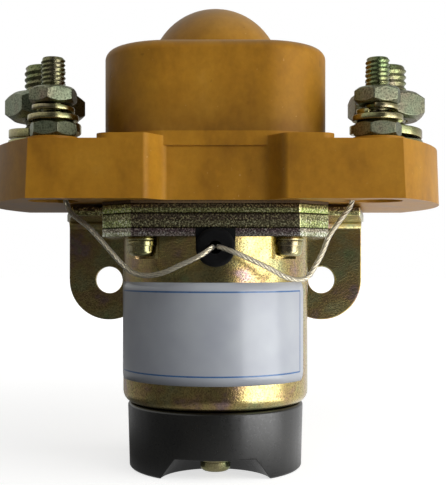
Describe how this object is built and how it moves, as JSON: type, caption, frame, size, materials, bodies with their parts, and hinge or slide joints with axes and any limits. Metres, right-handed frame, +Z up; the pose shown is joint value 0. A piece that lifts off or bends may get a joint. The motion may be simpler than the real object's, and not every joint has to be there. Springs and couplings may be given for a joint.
{
  "type": "dc contactor",
  "caption": "Direct current solenoid contactor: moulded contact housing with stud terminals on a bracket-mounted plated coil can with a black end cap.",
  "frame": {"origin": "midway between the two mounting holes, on the back face of the bracket", "axes": "+Z up along the can axis towards the contact housing, -Y to the front away from the panel, +X to the right-hand terminals"},
  "size_m": [0.114, 0.06, 0.1146],
  "materials": {
    "moulding": "satin ochre moulding",
    "black_plastic": "satin black",
    "rubber": "matt black",
    "label_film": "satin white film with a blue border",
    "zinc_yellow": "yellow zinc chromate plating",
    "zinc_fasteners": "pale zinc plating",
    "zinc_studs": "greenish zinc plating",
    "brass": "plain turned",
    "copper": "bare copper, sheet and enamelled wire",
    "silver": "silver contact metal and tinned lugs",
    "steel": "ground bright steel",
    "bobbin_nylon": "natural nylon",
    "phenolic": "dark red phenolic",
    "lead_sleeve": "clear sleeve over tinned strands"
  },
  "bodies": {
    "base": {"housing": "moulding", "insulating_gasket": "black_plastic", "threaded_inserts": "brass", "mounting_bracket": "zinc_yellow", "yoke_plate": "zinc_yellow", "magnet_can": "zinc_yellow", "grommet": "rubber", "label": "label_film", "end_cap": "black_plastic", "cap_screws": "zinc_fasteners", "cap_spring_washers": "zinc_fasteners", "frame_screws": "zinc_fasteners", "frame_spring_washers": "zinc_fasteners", "frame_flat_washers": "zinc_fasteners", "main_stud_left": "zinc_studs", "main_stud_right": "zinc_studs", "main_flat_washer_left": "zinc_fasteners", "main_flat_washer_right": "zinc_fasteners", "main_spring_washer_left": "zinc_fasteners", "main_spring_washer_right": "zinc_fasteners", "main_nut_left": "zinc_fasteners", "main_nut_right": "zinc_fasteners", "coil_stud_left": "zinc_studs", "coil_stud_right": "zinc_studs", "coil_lower_nut_left": "zinc_fasteners", "coil_lower_nut_right": "zinc_fasteners", "coil_flat_washer_left": "zinc_fasteners", "coil_flat_washer_right": "zinc_fasteners", "coil_spring_washer_left": "zinc_fasteners", "coil_spring_washer_right": "zinc_fasteners", "coil_upper_nut_left": "zinc_fasteners", "coil_upper_nut_right": "zinc_fasteners", "contact_strap_left": "copper", "contact_strap_right": "copper", "fixed_tip_left": "silver", "fixed_tip_right": "silver", "bobbin": "bobbin_nylon", "coil_winding": "copper", "guide_tube": "brass", "fixed_core": "steel", "return_spring": "steel", "lead_left": "lead_sleeve", "lead_right": "lead_sleeve", "lead_lug_left": "silver", "lead_lug_right": "silver"},
    "plunger_group": {"plunger": "steel", "stop_washer": "bobbin_nylon", "plunger_rod": "steel", "insulating_bush": "phenolic", "spring_retainer": "steel", "rod_nut": "steel", "contact_spring": "steel"},
    "bridge_group": {"contact_bridge": "copper", "bridge_tips": "silver"}
  },
  "joints": [
    {"name": "plunger_slide", "type": "slide", "parent": "base", "child": "plunger_group", "axis": [0, 0, -1], "range_m": [0, 0.0056], "stiffness_N_per_m": 600, "springref_m": -0.006, "deforming": ["return_spring"]},
    {"name": "bridge_slide", "type": "slide", "parent": "plunger_group", "child": "bridge_group", "axis": [0, 0, -1], "range_m": [-0.0014, 0], "deforming": ["contact_spring"]}
  ],
  "couplings": [
    {"joint": "bridge_slide", "follows": "plunger_slide", "ratio": -0.25}
  ]
}
